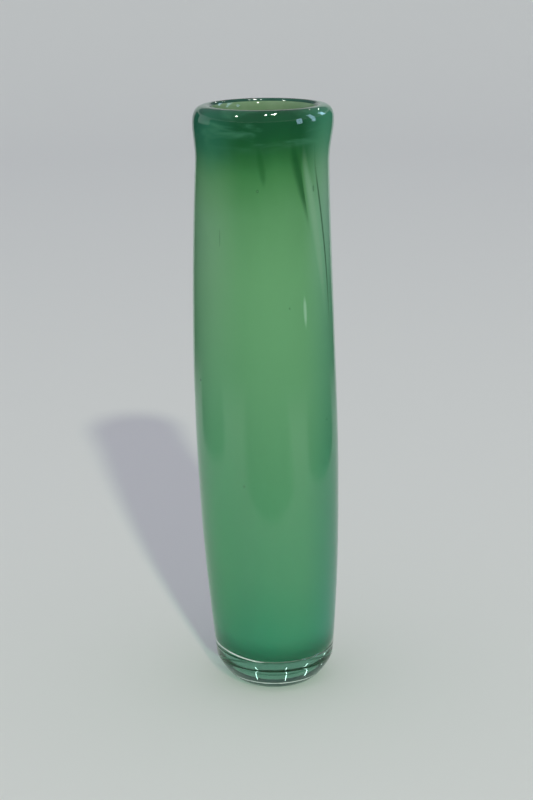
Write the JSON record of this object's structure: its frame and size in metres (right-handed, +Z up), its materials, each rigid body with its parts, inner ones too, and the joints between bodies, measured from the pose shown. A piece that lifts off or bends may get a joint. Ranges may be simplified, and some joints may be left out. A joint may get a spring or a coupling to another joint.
{
  "type": "glass stem vase",
  "caption": "Tall hand-blown cylinder vase in cased glass: clear casing and heavy clear foot over a milky green body with a rolled lip and soft colour streaks.",
  "frame": {"origin": "centre of the flat resting face under the foot", "axes": "+Z up along the vase's axis; -Y faces the viewer and +X is the viewer's right; the streaks lie on the -Y, +X side"},
  "size_m": [0.0606, 0.0606, 0.25],
  "materials": {
    "clear_glass": "fire-polished clear glass",
    "green_glass": "deep green glass coat, fused between two others",
    "opal_glass": "milky opal glass, fire-polished on the inside",
    "dark_green_glass": "dark green glass streak",
    "pale_green_glass": "pale milky green glass streak"
  },
  "bodies": {
    "root": {"clear_casing": "clear_glass", "green_coat": "green_glass", "opal_lining": "opal_glass", "dark_streak": "dark_green_glass", "pale_streak": "pale_green_glass", "hair_streak": "dark_green_glass", "drip_streak": "dark_green_glass", "pale_fleck": "pale_green_glass"}
  },
  "joints": []
}
